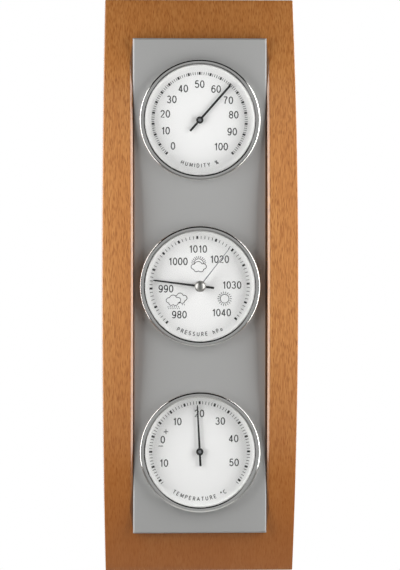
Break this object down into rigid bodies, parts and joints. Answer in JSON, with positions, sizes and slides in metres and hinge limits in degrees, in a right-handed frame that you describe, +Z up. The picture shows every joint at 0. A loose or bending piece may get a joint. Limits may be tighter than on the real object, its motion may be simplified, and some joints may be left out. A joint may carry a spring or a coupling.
{
  "type": "wall weather station",
  "caption": "Wall weather station with a bowed beech body and a flat silver plate that carries a hygrometer, an aneroid barometer with a set hand, and a thermometer.",
  "frame": {"origin": "the point on the wall where the wall screw bears in the top of the keyhole slot", "axes": "+Z up, +Y into the wall so that the dials face -Y, +X to the viewer's right"},
  "size_m": [0.1296, 0.036, 0.38],
  "materials": {
    "beech": "oiled and lacquered beech",
    "silver_plate": "fine matt silver-grey",
    "zinc_steel": "bright zinc plated",
    "screw_steel": "zinc plated",
    "spring_steel": "rolled",
    "case_steel": "spun",
    "bezel_chrome": "polished chrome plate",
    "knob_chrome": "turned and plated",
    "clear_glass": "clear flat glass",
    "white_ring": "matt",
    "dial_white": "matt white print",
    "pointer_black": "satin black",
    "bush_steel": "turned",
    "brass": "turned and rolled",
    "humidity_strip": "coated strip",
    "bimetal": "rolled bimetal",
    "blued_spring": "blued",
    "set_hand_grey": "satin"
  },
  "bodies": {
    "housing": {"wood_body": "beech", "front_plate": "silver_plate", "hanger_plate": "zinc_steel", "hanger_screws": "screw_steel", "hygro_strap": "spring_steel", "baro_strap": "spring_steel", "thermo_strap": "spring_steel", "strap_screws": "screw_steel", "hygro_case": "case_steel", "hygro_bezel": "bezel_chrome", "hygro_glass": "clear_glass", "hygro_spacer": "white_ring", "hygro_dial": "dial_white", "baro_case": "case_steel", "baro_bezel": "bezel_chrome", "baro_glass": "clear_glass", "baro_spacer": "white_ring", "baro_dial": "dial_white", "thermo_case": "case_steel", "thermo_bezel": "bezel_chrome", "thermo_glass": "clear_glass", "thermo_spacer": "white_ring", "thermo_dial": "dial_white", "hygro_bush": "brass", "hygro_clamp": "brass", "hygro_clamp_screws": "screw_steel", "thermo_bush": "brass", "thermo_clamp": "brass", "thermo_clamp_screws": "screw_steel", "baro_base_plate": "brass", "baro_bridge_rivet": "brass", "baro_capsule": "brass", "baro_pillars": "brass", "baro_lower_plate": "brass", "baro_top_plate": "brass", "baro_hairspring_stud": "brass", "baro_base_screws": "screw_steel", "baro_plate_nuts": "screw_steel", "baro_capsule_bridge": "spring_steel", "baro_hairspring": "blued_spring"},
    "hygro_adjustment": {"hygro_adjuster": "brass", "hygro_coil": "humidity_strip"},
    "hygro_hand": {"hygro_arbor": "bush_steel", "hygro_hub": "bush_steel", "hygro_pointer": "pointer_black"},
    "thermo_adjustment": {"thermo_adjuster": "brass", "thermo_coil": "bimetal"},
    "thermo_hand": {"thermo_arbor": "bush_steel", "thermo_hub": "bush_steel", "thermo_pointer": "pointer_black"},
    "baro_hand": {"baro_arbor": "bush_steel", "baro_hub": "bush_steel", "baro_pointer": "pointer_black"},
    "baro_gear_sector": {"baro_sector": "brass"},
    "baro_rocking_shaft": {"baro_rocker": "spring_steel"},
    "baro_set": {"baro_set_hand": "set_hand_grey", "baro_set_knob": "knob_chrome"},
    "baro_calibration": {"baro_calibration_screw": "screw_steel"}
  },
  "joints": [
    {"name": "hygro_adjust", "type": "hinge", "parent": "housing", "child": "hygro_adjustment", "pos_m": [0, -0.027, -0.058], "axis": [0, 1, 0], "range_deg": [-30, 30]},
    {"name": "hygro_reading", "type": "hinge", "parent": "hygro_adjustment", "child": "hygro_hand", "pos_m": [0, -0.027, -0.058], "axis": [0, 1, 0], "range_deg": [-176.4, 93.6], "stiffness_Nm_per_rad": 0.0005},
    {"name": "thermo_adjust", "type": "hinge", "parent": "housing", "child": "thermo_adjustment", "pos_m": [0, -0.027, -0.278], "axis": [0, 1, 0], "range_deg": [-30, 30]},
    {"name": "thermo_reading", "type": "hinge", "parent": "thermo_adjustment", "child": "thermo_hand", "pos_m": [0, -0.027, -0.278], "axis": [0, 1, 0], "range_deg": [-126.6, 132.6], "stiffness_Nm_per_rad": 0.0005},
    {"name": "baro_reading", "type": "hinge", "parent": "housing", "child": "baro_hand", "pos_m": [0, -0.027, -0.168], "axis": [0, 1, 0], "range_deg": [-55.1, 214.9], "stiffness_Nm_per_rad": 0.0005},
    {"name": "baro_sector_turn", "type": "hinge", "parent": "housing", "child": "baro_gear_sector", "pos_m": [-0.01625, -0.027, -0.168], "axis": [0, 1, 0], "range_deg": [-27, 7]},
    {"name": "baro_rocking", "type": "hinge", "parent": "housing", "child": "baro_rocking_shaft", "pos_m": [0, -0.0144, -0.1662], "axis": [1, 0, 0], "range_deg": [-4, 15.2]},
    {"name": "baro_set_turn", "type": "hinge", "parent": "housing", "child": "baro_set", "pos_m": [0, -0.027, -0.168], "axis": [0, 1, 0], "continuous": true},
    {"name": "baro_calibrate", "type": "hinge", "parent": "housing", "child": "baro_calibration", "pos_m": [0, -0.027, -0.183], "axis": [0, 1, 0], "range_deg": [-360, 360]}
  ],
  "couplings": [
    {"joint": "baro_sector_turn", "follows": "baro_reading", "ratio": -0.125},
    {"joint": "baro_rocking", "follows": "baro_reading", "ratio": 0.07}
  ]
}
